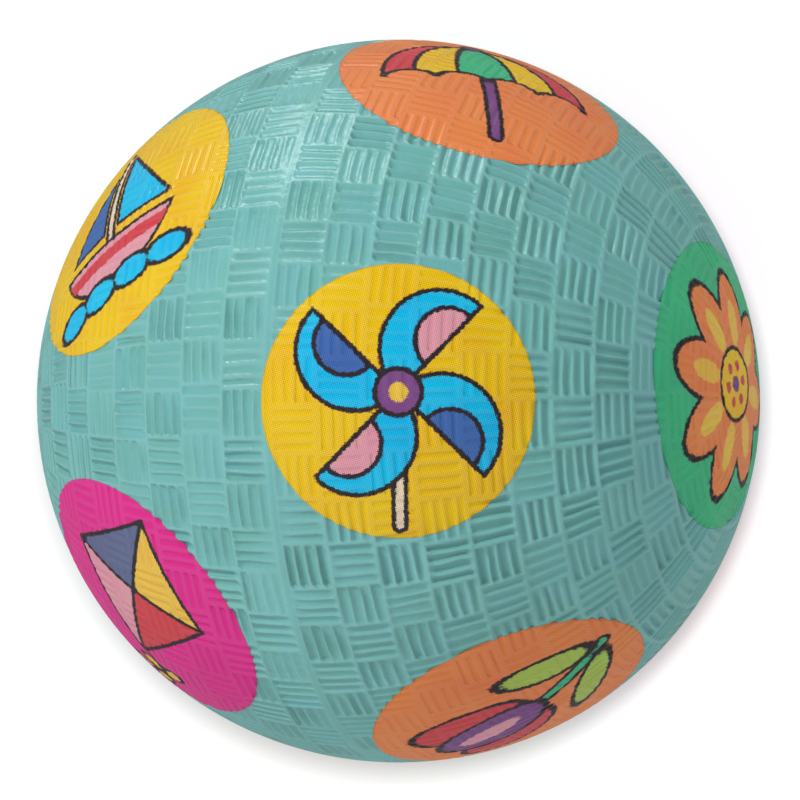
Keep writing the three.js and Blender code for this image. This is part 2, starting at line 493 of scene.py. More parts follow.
def woven_ring(weave, plan, parts):
    """Places of one ring's points, as rows of latitude, longitude, radius and relief.

    Cells come in pairs: in the first the grooves run along the meridian, in the second
    along the ring. Depth is the groove profile across the grooves times a smooth step at each
    end, over the groove's run-out, and changes evenly over the cell. Points move sideways with
    their ridges, groove ends are moved inwards, and what lies inside the cell's border is drawn
    towards its middle by the inset. A pit is one more step down at the end of a groove.
    """
    places, depths, numbers = groove_lines(weave, parts)
    end_places = end_lines(weave, LENGTH_STEPS * parts)
    column = np.concatenate([places[:-1], end_places[:-1]])
    upright = np.concatenate([np.ones(len(places) - 1), np.zeros(len(end_places) - 1)]) > 0
    across = np.concatenate([depths[:-1], np.zeros(len(end_places) - 1)])
    number = np.concatenate([numbers[:-1], np.zeros(len(end_places) - 1, int)])
    inside = ((column > 0) & (column < 1)).astype(float)

    # The same pair all round the ring
    pairs = plan["cells"] // 2
    cell = (2 * np.arange(pairs)[:, None] + np.where(upright, 0, 1)).ravel()
    column, across, inside = (np.tile(a, pairs) for a in (column, across, inside))
    number, upright = np.tile(number, pairs), np.tile(upright, pairs)
    row = places[:, None]
    groove = np.where(upright, number, numbers[:, None])
    way = np.where(upright, row, column)

    # How deep each point lies, as a share of its groove's depth
    start_run, end_run = plan["run_out"][:, cell, groove]
    run_out = np.where(way < 0.5, start_run, end_run)
    fall = np.clip((np.minimum(way, 1 - way) - end_places[1]) / run_out, 0, 1)
    relief = np.where(upright, across, depths[:, None]) * fall * fall * (3 - 2 * fall)

    # Where it lies in its cell
    across_shift = sideways_shift(weave, plan, cell, np.where(upright, column, row) * GROOVES, way)
    start_shift, end_shift = plan["ends"][:, cell, groove]
    along_shift = start_shift * (1 - way) - end_shift * way
    free = inside * ((places > 0) & (places < 1))[:, None]
    turn = column + free * np.where(upright, across_shift / GROOVES, along_shift)
    height = row + free * np.where(upright, along_shift, across_shift / GROOVES)
    turn = np.where(free > 0, 0.5 + (turn - 0.5) * plan["inset"][0][cell], turn)
    height = np.where(free > 0, 0.5 + (height - 0.5) * plan["inset"][1][cell], height)

    # Where that is on the ball
    borders = plan["borders"]
    longitude = borders[cell] + turn * (borders[cell + 1] - borders[cell])
    latitude = plan["low"] + (RING_GAP + (1 - 2 * RING_GAP) * height) * (plan["high"] - plan["low"])
    slope = 1 + plan["slope"][0][cell] * (turn - 0.5) + plan["slope"][1][cell] * (height - 0.5)
    relief = relief * (1 - plan["fade"] * (1 - height) ** 2)
    radius = BALL_RADIUS - plan["depth"][cell, groove] * slope * relief
    pitted = (~upright & (column == end_places[-3])) * relief
    return latitude, longitude, radius - plan["pits"][cell, groove] * pitted, relief + pitted


def seam_flash(weave, longitude):
    """Height of the flash round the seam: a low ridge that waves, with a few gaps rubbed away.

    It is a mean height with three sine waves on it, each given by its count and its phase.
    """
    mean, swing, least = 0.55, 0.25, 0.1  # as shares of the flash's full height
    waves = ((7, 1), (17, 2), (41, 0))
    wave = sum(np.sin(longitude * count + phase) for count, phase in waves)
    return weave.flash * np.clip(mean + swing * wave, least, 1)


def outer_skin(weave, side, parts):
    """The outside of a half up to the edge of its pole: the seam, the woven rings and plain skin.

    Gives the skin, its first row, which lies on the parting line, and its last row's longitudes.
    """
    skin = Skin()
    first = None
    for plan in ring_plans(weave, side):
        latitude, longitude, radius, relief = woven_ring(weave, plan, parts)
        if first is None:
            seam_turn = longitude[:1]
            rows = np.array([[0], [FLASH_TOP], [FLASH_FOOT]]) / BALL_RADIUS
            height = np.array([[1], [1], [0]]) * seam_flash(weave, side * seam_turn)
            first = skin.add(rows, seam_turn, BALL_RADIUS + height, FLASH_TONE)[0]
        skin.add(latitude, longitude, radius, relief)
    turn = longitude[-1]
    rim = np.linspace(POLE_LAND, PAD_RADIUS, 1 + parts)[1:, None]
    skin.add(np.arccos(rim / BALL_RADIUS), turn, BALL_RADIUS)
    return skin, first, turn


def profile_rows(profile):
    """Latitude and distance of points given by their way off the axis and along it."""
    offsets, levels = np.array(profile).T[:, :, None]
    return np.arctan2(levels, offsets), np.hypot(offsets, levels)


def close_plain_pole(skin, turn, parts):
    """Cover the plain pole with a low button that rises in a short step."""
    step, rise = 0.4 * MM, 0.15 * MM
    rows = 6 * parts - 3  # 3 on the shell, and 9 under a print
    inward = np.linspace(PAD_RADIUS - step, 0, rows + 1)[:-1, None]
    skin.add(np.arccos(inward / BALL_RADIUS), turn, BALL_RADIUS + rise)
    skin.pole(skin.last, BALL_RADIUS + rise, first=False)


def close_valve_pole(skin, turn):
    """Cut the pole flat, with a fine ring pressed into the pad and a rounded hole in it."""
    hole = HEAD_RADIUS + FIT
    hole_end = math.sqrt(INNER_RADIUS ** 2 - hole ** 2)
    ring, press = 7.3 * MM, 0.25 * MM
    lip, cut = 0.3 * MM, 0.1 * MM  # width of a rounded edge, and what it takes off the corner
    latitude, radius = profile_rows([
        (PAD_RADIUS - lip, PAD_LEVEL), (ring + lip, PAD_LEVEL), (ring, PAD_LEVEL - press),
        (ring - lip, PAD_LEVEL), (hole + lip, PAD_LEVEL), (hole + cut, PAD_LEVEL - cut),
        (hole, PAD_LEVEL - lip), (hole, hole_end),
    ])
    skin.add(latitude, turn, radius)


def shell_half(weave, side):
    """A whole half: its outside, its pole, its inside and the rim that closes it."""
    skin, first, turn = outer_skin(weave, side, SHELL_PARTS)
    inner_turn = np.arange(INNER_SEGMENTS) * 2 * np.pi / INNER_SEGMENTS
    if side > 0:
        close_plain_pole(skin, turn, SHELL_PARTS)
        skin.last = None  # so that the inside is not joined to the button
        start = math.pi / 2 * INNER_CAP
    else:
        close_valve_pole(skin, turn)
        start = math.acos((HEAD_RADIUS + FIT) / INNER_RADIUS)
    inner = skin.add(np.linspace(start, 0, INNER_ROWS)[:, None], inner_turn, INNER_RADIUS)
    if side > 0:
        skin.pole(inner[0], INNER_RADIUS, first=True)
    skin.close(inner[-1], first)
    return skin


# Prints


def cap_of(points, triangles, values, direction, edge_cosine):
    """The part of a skin inside a cone about a direction.

    Triangles inside are kept. Triangles that the cone's edge crosses are cut where the
    cosine, taken as linear along each side, meets the edge's cosine.
    """
    depth = (points @ direction) / np.linalg.norm(points, axis=1) - edge_cosine
    within = depth[triangles] >= 0
    count = within.sum(1)
    whole = triangles[count == 3]
    lone = triangles[count == 1]
    lone_at = np.argmax(within[count == 1], 1)
    pair = triangles[count == 2]
    pair_at = np.argmin(within[count == 2], 1)
    lone = np.take_along_axis(lone, (lone_at[:, None] + np.arange(3)) % 3, 1)
    pair = np.take_along_axis(pair, (pair_at[:, None] + np.arange(3)) % 3, 1)
    sides = np.concatenate([lone[:, [0, 1]], lone[:, [0, 2]], pair[:, [1, 0]], pair[:, [2, 0]]])
    unique, place = np.unique(sides, axis=0, return_inverse=True)
    share = depth[unique[:, 0]] / (depth[unique[:, 0]] - depth[unique[:, 1]])
    data = np.column_stack([points, values])
    cut = data[unique[:, 0]] + share[:, None] * (data[unique[:, 1]] - data[unique[:, 0]])
    place = place.ravel() + len(points)
    ones, twos = len(lone), len(pair)
    a, b = place[:ones], place[ones:2 * ones]
    c, d = place[2 * ones:2 * ones + twos], place[2 * ones + twos:]
    faces = np.concatenate([
        whole,
        np.stack([lone[:, 0], a, b], 1),
        np.stack([pair[:, 1], pair[:, 2], d], 1),
        np.stack([pair[:, 1], d, c], 1),
    ])
    used, faces = np.unique(faces, return_inverse=True)
    data = np.concatenate([data, cut])[used]
    return data[:, :3], faces.reshape(-1, 3), data[:, 3]


def film_of(points, triangles, thickness, lift, fill):
    """A closed film: a surface above the skin, the skin's own shape below it, and its edge.

    The ink fills a share of the groove at each point. An edge of the film is a side that no
    other triangle runs along the other way.
    """
    radius = np.linalg.norm(points, axis=1, keepdims=True)
    outward = points / radius
    count = len(points)
    sides = np.concatenate([triangles[:, [0, 1]], triangles[:, [1, 2]], triangles[:, [2, 0]]])
    key = sides[:, 0] * count + sides[:, 1]
    back = sides[:, 1] * count + sides[:, 0]
    start, end = sides[~np.isin(key, back)].T
    skirt = np.concatenate([
        np.stack([end, start, start + count], 1),
        np.stack([end, start + count, end + count], 1),
    ])
    below = triangles[:, ::-1] + count
    depth = np.maximum(BALL_RADIUS - radius, 0)
    top = points + outward * (lift + thickness + fill[:, None] * depth)
    bottom = points + outward * lift
    return np.concatenate([top, bottom]), np.concatenate([triangles, below, skirt])


def print_direction(lean, turn):
    """Unit vector that leans off the front print's, turned about it, as the solids have it."""
    direction = Vector((0, 0, 1))
    direction.rotate(Matrix.Rotation(lean, 3, "Y"))
    direction.rotate(Matrix.Rotation(turn, 3, "Z"))
    direction.rotate(Matrix.Rotation(FRONT_LEAN, 3, "Y"))
    return np.array(direction)


def print_plane(points, direction, spin):
    """Millimetres across and up a print: the angle off its middle, laid flat."""
    across = np.cross([0, 1, 0], direction)
    across /= np.linalg.norm(across)
    up = np.cross(direction, across)
    unit = points / np.linalg.norm(points, axis=1, keepdims=True)
    x, y = unit @ across, unit @ up
    angle = np.arctan2(np.hypot(x, y), unit @ direction)
    turn = np.arctan2(y, x) - spin
    reach = angle * BALL_RADIUS / MM
    return reach * np.cos(turn), reach * np.sin(turn)


# Shapes of the motifs, as signed distances in millimetres, below 0 inside


def disc(u, v, x, y, radius):
    """Distance from a circle."""
    return np.hypot(u - x, v - y) - radius


def oval(u, v, x, y, wide, high, turn=0.0):
    """Distance from an ellipse, by the share of its reach, with half widths given."""
    c, s = math.cos(turn), math.sin(turn)
    a = (u - x) * c + (v - y) * s
    b = (v - y) * c - (u - x) * s
    return (np.hypot(a / wide, b / high) - 1) * min(wide, high)


def stroke(u, v, start, end, radius):
    """Distance from a line with round ends."""
    dx, dy = end[0] - start[0], end[1] - start[1]
    share = ((u - start[0]) * dx + (v - start[1]) * dy) / (dx * dx + dy * dy)
    share = np.clip(share, 0, 1)
    return np.hypot(u - start[0] - share * dx, v - start[1] - share * dy) - radius


def polygon(u, v, *corners):
    """Distance from a polygon: the nearest side, with its sign by how often a ray crosses it."""
    nearest = np.full(u.shape, np.inf)
    sign = np.ones(u.shape)
    for (x0, y0), (x1, y1) in zip(corners, corners[1:] + corners[:1]):
        nearest = np.minimum(nearest, stroke(u, v, (x0, y0), (x1, y1), 0))
        crosses = (y0 > v) != (y1 > v)
        rise = (y1 - y0) or 1  # a level side is never crossed
        sign = np.where(crosses & (u < x0 + (v - y0) * (x1 - x0) / rise), -sign, sign)
    return nearest * sign


def either(*shapes):
    """Distance from a union."""
    return np.minimum.reduce(shapes)


def both(*shapes):
    """Distance from an overlap."""
    return np.maximum.reduce(shapes)


def turned(u, v, angle):
    """Coordinates in a frame that is turned by an angle."""
    c, s = math.cos(angle), math.sin(angle)
    return u * c + v * s, v * c - u * s


def round_about(u, v, count, shape, start=0.0):
    """Union of copies of a shape, turned about the middle by equal steps."""
    turns = start + np.arange(count) * 2 * np.pi / count
    return either(*(shape(*turned(u, v, angle)) for angle in turns))


# Motifs, as layers from the lowest up: ink, distance, and whether a key line runs round it


def pinwheel(u, v):
    """Four half-round vanes with folded corners about a hub on a stick."""
    v = v - 2

    def vane(a, b):
        return both(disc(a, b, 13.4, 0, 13.4), -b)

    def fold(a, b):
        return both(disc(a, b, 16.0, 0, 7.4), -b)

    quarter = math.pi / 2
    return [
        ("cream", stroke(u, v, (0, 0), (0, -30), 1.4), True),
        ("cyan", round_about(u, v, 4, vane, quarter / 2), True),
        ("blue", round_about(u, v, 2, fold, quarter * 1.5), True),
        ("pink", round_about(u, v, 2, fold, quarter / 2), True),
        ("violet", disc(u, v, 0, 0, 5.2), True),
        ("gold", disc(u, v, 0, 0, 2.2), False),
    ]


def flower(u, v):
    """Eight round petals with a paler heart in each, about a dotted middle."""
    ring = math.pi / 8
    return [
        ("orange", round_about(u, v, 8, lambda a, b: oval(a, b, 16.5, 0, 11.5, 7.0), ring), True),
        ("gold", round_about(u, v, 8, lambda a, b: oval(a, b, 15, 0, 6.0, 2.6), ring), False),
        ("yellow", disc(u, v, 0, 0, 8.6), True),
        ("red", round_about(u, v, 6, lambda a, b: disc(a, b, 4.6, 0, 1.3)), False),
        ("violet", disc(u, v, 0, 0, 2.0), False),
    ]


def parasol(u, v):
    """A half-round canopy in gores with a scalloped hem, on a pole."""
    canopy = both(disc(u, v, 0, -4, 25), -4 - v)
    hem = either(*(oval(u, v, x, -4.5, 6.2, 3.6) for x in (-18.7, -6.2, 6.2, 18.7)))
    canopy = both(canopy, -hem)
    return [
        ("violet", stroke(u, v, (0, 22), (0, -27), 1.6), True),
        ("red", canopy, True),
        ("yellow", both(canopy, oval(u, v, 0, -4, 17.5, 25)), True),
        ("green", both(canopy, oval(u, v, 0, -4, 7.0, 25)), True),
        ("violet", disc(u, v, 0, 22.5, 2.6), True),
    ]


def sailboat(u, v):
    """Two sails on a mast over a striped hull, with a wave below."""
    hull = both(disc(u, v, 0, 0, 21), v + 7.5)
    hull = both(hull, -(v + 19))
    wave = either(*(oval(u, v, x, -21, 6.6, 3.6) for x in (-17.5, -6, 6, 17.5)))
    return [
        ("cream", stroke(u, v, (-1, -8), (-1, 24), 1.2), True),
        ("cyan", polygon(u, v, (1.5, -4), (1.5, 22), (19, -4)), True),
        ("blue", polygon(u, v, (-3.5, -4), (-3.5, 17), (-17, -4)), True),
        ("pink", hull, True),
        ("red", both(hull, np.abs(v + 11.5) - 1.8), False),
        ("cyan", wave, True),
    ]


def kite(u, v):
    """A diamond in four colours, with bows on its tail."""
    diamond = polygon(u, v, (0, 31), (21, 9), (0, -16), (-21, 9))
    tail = either(
        stroke(u, v, (0, -15), (5, -21), 0.6),
        stroke(u, v, (5, -21), (-1, -27), 0.6),
        stroke(u, v, (-1, -27), (4, -32), 0.6),
    )
    bows = either(*(oval(u, v, x + way * 3.4, y, 3.4, 2.2, way * 0.5)
                    for x, y in ((4.4, -21.5), (-0.4, -27.5)) for way in (-1, 1)))
    return [
        ("black", tail, False),
        ("gold", bows, True),
        ("slate", both(diamond, u, 9 - v), True),
        ("gold", both(diamond, -u, 9 - v), True),
        ("pink", both(diamond, u, v - 9), True),
        ("red", both(diamond, -u, v - 9), True),
    ]


def tulip(u, v):
    """Three petals on a stem with two leaves."""
    leaves = either(
        oval(u, v, -9.5, -17, 4.2, 12.5, 0.62),
        oval(u, v, 9.5, -17, 4.2, 12.5, -0.62),
    )
    return [
        ("green", stroke(u, v, (0, 0), (0, -29), 1.7), True),
        ("lime", leaves, True),
        ("red", either(oval(u, v, -8, 9, 7.6, 15, 0.22), oval(u, v, 8, 9, 7.6, 15, -0.22)), True),
        ("violet", oval(u, v, 0, 8, 8, 15.5), True),
        ("pink", oval(u, v, 0, 9, 3, 9), False),
    ]


def spinning_top(u, v):
    """A round body with a dotted band, on a cone, with a knob on its spindle."""
    body = oval(u, v, 0, 3, 23, 13)
    return [
        ("gold", stroke(u, v, (0, 12), (0, 24), 2.0), True),
        ("violet", polygon(u, v, (-15, -2), (15, -2), (1.5, -25), (-1.5, -25)), True),
        ("cyan", body, True),
        ("gold", both(body, np.abs(v - 3) - 3.4), True),
        ("red", disc(u, v, 0, 24.5, 3.6), True),
        ("red", either(*(disc(u, v, x, 3, 1.7) for x in (-15, -7.5, 0, 7.5, 15))), False),
    ]


def leaf(u, v):
    """A pointed leaf, the overlap of two circles, with a rib and side veins."""
    blade = both(disc(u, v, -14, 2, 27), disc(u, v, 14, 2, 27))
    veins = either(*(stroke(u, v, (0, y), (way * 8.5, y + 6.5), 0.8)
                     for y in (-13, -5, 3, 11) for way in (-1, 1)))
    return [
        ("cream", stroke(u, v, (0, 0), (0, -30), 1.5), True),
        ("lime", blade, True),
        ("yellow", both(blade, u), True),
        ("cyan", both(veins, blade + 1), False),
        ("cream", stroke(u, v, (0, 19), (0, -22), 1.0), False),
    ]


def balloon(u, v):
    """A round envelope in gores that narrows to a collar, over a basket."""
    bag = either(disc(u, v, 0, 7, 20), polygon(u, v, (-15.5, -5.5), (15.5, -5.5), (4, -19), (-4, -19)))
    return [
        ("black", either(*(stroke(u, v, (x, -17), (x, -25), 0.6) for x in (-4, 4))), False),
        ("red", bag, True),
        ("cream", both(bag, oval(u, v, 0, 5, 13, 26)), True),
        ("blue", both(bag, oval(u, v, 0, 5, 5.4, 27)), True),
        ("orange", polygon(u, v, (-5.5, -23.5), (5.5, -23.5), (4.4, -31), (-4.4, -31)), True),
    ]


def heart(u, v):
    """A heart of two round lobes over a point, with two smaller ones inside it."""
    v = v + 2

    def shape(size):
        a, b = u / size, v / size
        lobes = either(disc(a, b, -9.6, 7, 11), disc(a, b, 9.6, 7, 11))
        point = polygon(a, b, (-18.6, 0.8), (0, 11), (18.6, 0.8), (0, -21))
        return either(lobes, point) * size

    return [
        ("red", shape(1.12), True),
        ("gold", shape(0.74), True),
        ("cyan", shape(0.4), True),
    ]


def moon(u, v):
    """A crescent over three round clouds, with two five-armed stars beside it."""
    crescent = both(disc(u, v, -3, 4, 21), -disc(u, v, 7, 8, 17))
    cloud = either(oval(u, v, -2, -17, 10, 6), oval(u, v, 9, -14.5, 9, 7), oval(u, v, 19, -18, 8, 5))

    def arm(a, b):
        return oval(a, b, 2.6, 0, 3.6, 1.7)

    return [
        ("gold", crescent, True),
        ("cyan", cloud, True),
        ("cream", round_about(u - 10, v - 13, 5, arm, math.pi / 2), True),
        ("cream", round_about(u - 19, v + 2, 5, arm, math.pi / 3), True),
    ]


# Each print: its motif, its ground and its motif's turn in degrees. The far ring has none where
# the valve is.
FRONT_PRINT = (pinwheel, "yellow", 0)
NEAR_PRINTS = [
    (flower, "green", 10), (parasol, "orange", -20), (sailboat, "yellow", 35),
    (kite, "magenta", -40), (tulip, "orange", 160),
]
FAR_PRINTS = [
    (spinning_top, "magenta", 0), (leaf, "green", 30), None,
    (balloon, "yellow", -15), (heart, "magenta", 20),
]
BACK_PRINT = (moon, "orange", 180)


def print_places():
    """Every print with its direction: one in front, two rings of five and one behind."""
    step = 2 * math.pi / RING_COUNT
    yield FRONT_PRINT, print_direction(0, 0)
    for i, piece in enumerate(NEAR_PRINTS):
        yield piece, print_direction(RING_LEAN, LAYOUT_TURN + step * i)
    for i, piece in enumerate(FAR_PRINTS):
        if piece:
            yield piece, print_direction(math.pi - RING_LEAN, LAYOUT_TURN + step * (i + 0.5))
    yield BACK_PRINT, print_direction(math.pi, 0)


# Materials

SHARE, FIRST, SECOND, MIXED = 0, 6, 7, 2  # sockets of a Mix node that mixes colours
NOISE_SPAN = {"From Min": 0.3, "From Max": 0.7}  # where nearly all of a noise lies
GRAIN = 0.9 * MM  # of the mould's cut surface, drawn coarse enough to show
RUBBER_IOR = 1.52
INK_IOR = 1.5
VALVE_BLOOM = "#6a6d6c"
SCREEN_TURN = math.radians(30)  # of the printing screen on a print
BETWEEN_DOTS = (0.96, 1.14, 1.0, 1)  # factors for an ink's red, green and blue
ON_DOTS = (0.89, 0.52, 0.85, 1)  # the same under a magenta dot


def add_node(tree, kind, inputs=None, out=0, **settings):
    """Add a node with its settings, set its inputs or link them to outputs, and give an output."""
    node = tree.nodes.new("ShaderNode" + kind)
    for key, value in settings.items():
        setattr(node, key, value)
    for key, value in (inputs or {}).items():
        if isinstance(value, bpy.types.NodeSocket):
            tree.links.new(value, node.inputs[key])
        else:
            node.inputs[key].default_value = value
    return node.outputs[out] if len(node.outputs) else None


def new_material(name):
    """A material with no nodes yet, and its node tree."""
    material = bpy.data.materials.new(name)
    material.use_nodes = True
    material.node_tree.nodes.clear()
    return material, material.node_tree


def teal_rubber(finish):
    """Moulded natural rubber: satin, with a pale rubbed bloom on its lands.

    The lands are paler than the grooves: partly a rubbed bloom on the lands, and partly painted
    shade that darkens the grooves' walls and floors. The tone drifts over a few centimetres and
    the hue over one, as mixed rubber does, and low lumps and a fine grain from the mould break the sheen.
    """
    material, tree = new_material("moulded_teal_rubber")
    place = add_node(tree, "TexCoord", out="Object")
    relief = add_node(tree, "Attribute", out="Fac", attribute_name="relief")
    # Land to groove colour: a paler rubbed bloom on the lands, and painted shade that darkens the grooves
    # from half-way down their walls
    bloom_and_painted_shade = add_node(tree, "ValToRGB", {"Fac": relief})
    ends = bloom_and_painted_shade.node.color_ramp.elements
    ends[0].color, ends[1].color = finish.land, finish.groove
    ends[1].position = 0.5
    drift = add_node(tree, "TexNoise", {
        "Vector": place, "Scale": 1 / (35 * MM), "Detail": 3.0, "Roughness": 0.6})
    shade = add_node(tree, "MapRange", {
        "Value": drift, **NOISE_SPAN, "To Min": 0.93, "To Max": 1.05})
    batch = add_node(tree, "TexNoise", {"Vector": place, "Scale": 1 / (9 * MM), "Detail": 1.0})
    hue = add_node(tree, "MapRange", {
        "Value": batch, **NOISE_SPAN, "To Min": 0.49, "To Max": 0.51})
    colour = add_node(tree, "HueSaturation", {"Hue": hue, "Value": shade, "Color": bloom_and_painted_shade})
    grain = add_node(tree, "TexNoise", {
        "Vector": place, "Scale": 1 / GRAIN, "Detail": 2.0, "Roughness": 0.55})
    rough = add_node(tree, "MapRange", {
        "Value": grain, **NOISE_SPAN, "To Min": 0.33, "To Max": 0.44})
    lumps = add_node(tree, "TexNoise", {
        "Vector": place, "Scale": 1 / (2.2 * MM), "Detail": 2.0, "Roughness": 0.6})
    uneven = add_node(tree, "Bump", {"Height": lumps, "Distance": 0.2 * MM})
    bump = add_node(tree, "Bump", {
        "Height": grain, "Strength": 0.6, "Distance": 0.14 * MM, "Normal": uneven})
    shader = add_node(tree, "BsdfPrincipled", {
        "Base Color": colour, "Roughness": rough, "Normal": bump, "IOR": RUBBER_IOR})
    add_node(tree, "OutputMaterial", {"Surface": shader})
    return material


def valve_rubber(finish):
    """Moulded black rubber: matt, with a grey bloom in soft patches."""
    material, tree = new_material("moulded_black_rubber")
    place = add_node(tree, "TexCoord", out="Object")
    bloom = add_node(tree, "TexNoise", {"Vector": place, "Scale": 1 / (3 * MM), "Detail": 4.0})
    patch = add_node(tree, "MapRange", {
        "Value": bloom, "From Min": 0.35, "From Max": 0.75, "To Min": 0.0, "To Max": 0.3})
    colour = add_node(tree, "Mix", {
        SHARE: patch, FIRST: finish.valve, SECOND: linear(VALVE_BLOOM)}, MIXED, data_type="RGBA")
    bump = add_node(tree, "Bump", {"Height": bloom, "Strength": 0.2, "Distance": 0.1 * MM})
    shader = add_node(tree, "BsdfPrincipled", {
        "Base Color": colour, "Roughness": 0.6, "Normal": bump, "IOR": RUBBER_IOR})
    add_node(tree, "OutputMaterial", {"Surface": shader})
    return material


def print_ink(settings, finish, name, ground, layers):
    """Screen-printed elastic ink: flat satin colours with black key lines.

    Each layer's distance is stored on the mesh. Where it is under half a key line the
    layer's black shows, and where it is below the line the layer's ink does. Small
    magenta dots of the printing screen tint the inks in drifts, and roughen the edges of the
    lines. The ink is darker along the print's rim, and the side of the film, down in a groove,
    shows the rubber's colour.
    """
    material, tree = new_material("screen_ink_" + name)
    half_mm = settings.outline / MM / 2
    soft_mm = 0.12  # half of the blur along a line
    ragged_mm, dotted_mm = 0.2, 0.15  # how far the grain and the dots push a line
    plane = add_node(tree, "UVMap", uv_map="print")

    # The plane counts dots. Two crossed sine waves have their dots 1/sqrt(2) of a wave apart.
    dots = add_node(tree, "Mapping", {
        "Vector": plane, "Rotation": (0, 0, SCREEN_TURN), "Scale": (math.tau / math.sqrt(2),) * 3})
    dots_u = add_node(tree, "SeparateXYZ", {"Vector": dots}, "X")
    wave_u = add_node(tree, "Math", {0: dots_u}, operation="SINE")
    wave_v = add_node(tree, "Math", {0: dots_u.node.outputs["Y"]}, operation="SINE")
    screen = add_node(tree, "Math", {0: wave_u, 1: wave_v}, operation="MULTIPLY")
    drift = add_node(tree, "TexNoise", {
        "Vector": plane, "Scale": settings.screen / (16 * MM), "Detail": 2.0})
    tint = add_node(tree, "Math", {0: screen, 1: drift}, operation="ADD")
    dot = add_node(tree, "MapRange", {"Value": tint, "From Min": 0.35, "From Max": 0.95})
    tone = add_node(tree, "Mix", {
        SHARE: dot, FIRST: BETWEEN_DOTS, SECOND: ON_DOTS}, MIXED, data_type="RGBA")

    # Layers of ink, each with its black line under it
    place = add_node(tree, "TexCoord", out="Object")
    grain = add_node(tree, "TexNoise", {"Vector": place, "Scale": 1 / GRAIN})
    ragged = add_node(tree, "MapRange", {
        "Value": grain, **NOISE_SPAN, "To Min": -ragged_mm, "To Max": ragged_mm})
    push = add_node(tree, "Math", {0: screen, 1: dotted_mm, 2: ragged}, operation="MULTIPLY_ADD")
    colour = linear(INKS[ground])
    for number, (ink, _, lined) in enumerate(layers):
        layer = add_node(tree, "Attribute", out="Fac", attribute_name=f"layer_{number}")
        distance = add_node(tree, "Math", {0: layer, 1: push}, operation="ADD")
        for edge_mm, top in ((half_mm, "black"), (-half_mm, ink)) if lined else ((0.0, ink),):
            cover = add_node(tree, "MapRange", {
                "Value": distance, "From Min": edge_mm + soft_mm, "From Max": edge_mm - soft_mm})
            colour = add_node(tree, "Mix", {
                SHARE: cover, FIRST: colour, SECOND: linear(INKS[top])}, MIXED, data_type="RGBA")

    # The rim, the ridges' lower saturation, the screen and the side of the film
    edge = add_node(tree, "Attribute", out="Fac", attribute_name="edge")
    bleed = add_node(tree, "MapRange", {"Value": edge, "From Min": 0.4, "From Max": 0.1, "To Max": 0.25})
    bled = add_node(tree, "Mix", {
        SHARE: bleed, FIRST: colour, SECOND: linear(INKS["brown"])}, MIXED, data_type="RGBA")
    relief = add_node(tree, "Attribute", out="Fac", attribute_name="relief")
    # The ink is slightly less saturated on the ridges than down on the groove floors
    rubbed = add_node(tree, "MapRange", {"Value": relief, "To Min": 0.98, "To Max": 1.01})
    printed = add_node(tree, "HueSaturation", {"Saturation": rubbed, "Color": bled})
    screened = add_node(tree, "Mix", {
        SHARE: 1.0, FIRST: printed, SECOND: tone}, MIXED, data_type="RGBA", blend_type="MULTIPLY")
    # The film's side takes the grooves' darker teal, which is partly painted shade
    below = add_node(tree, "Attribute", out="Fac", attribute_name="below")
    bare = add_node(tree, "MapRange", {"Value": below, "From Min": 0.1, "From Max": 0.3})
    edged = add_node(tree, "Mix", {
        SHARE: bare, FIRST: screened, SECOND: finish.groove}, MIXED, data_type="RGBA")

    rough = add_node(tree, "MapRange", {
        "Value": grain, **NOISE_SPAN, "To Min": 0.36, "To Max": 0.5})
    bump = add_node(tree, "Bump", {"Height": grain, "Strength": 0.2, "Distance": 0.05 * MM})
    woven = add_node(tree, "Bump", {
        "Height": relief, "Distance": 0.11 * MM, "Normal": bump}, invert=True)
    shader = add_node(tree, "BsdfPrincipled", {
        "Base Color": edged, "Roughness": rough, "Normal": woven, "IOR": INK_IOR,
        "Specular IOR Level": 0.3})
    add_node(tree, "OutputMaterial", {"Surface": shader})
    return material


# Operators


class PLAYBALL_OT_halves(bpy.types.Operator):
    """Make the two woven rubber halves"""

    bl_idname = "playball.halves"
    bl_label = "Shell Halves"

    def execute(self, context):
        weave = context.scene.playball_weave
        rubber = teal_rubber(context.scene.playball_finish)
        for side, node in ((1, "shell_half_plain"), (-1, "shell_half_valve")):
            skin = shell_half(weave, side)
            points = skin.points(side)
            piece = make_piece(node + "_woven", points, skin.triangles, rubber, "ball")
            latitude, _, radius, _ = skin.places.T
            woven = latitude > SEAM_LAND / BALL_RADIUS
            woven &= latitude < math.acos(POLE_LAND / BALL_RADIUS)
            woven &= radius > BALL_RADIUS - 2 * weave.depth  # not the inside of the wall
            round_edges(piece, points, skin.triangles, woven)
            set_attribute(piece, "relief", skin.places[:, 3])
            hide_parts(node)
        return {"FINISHED"}


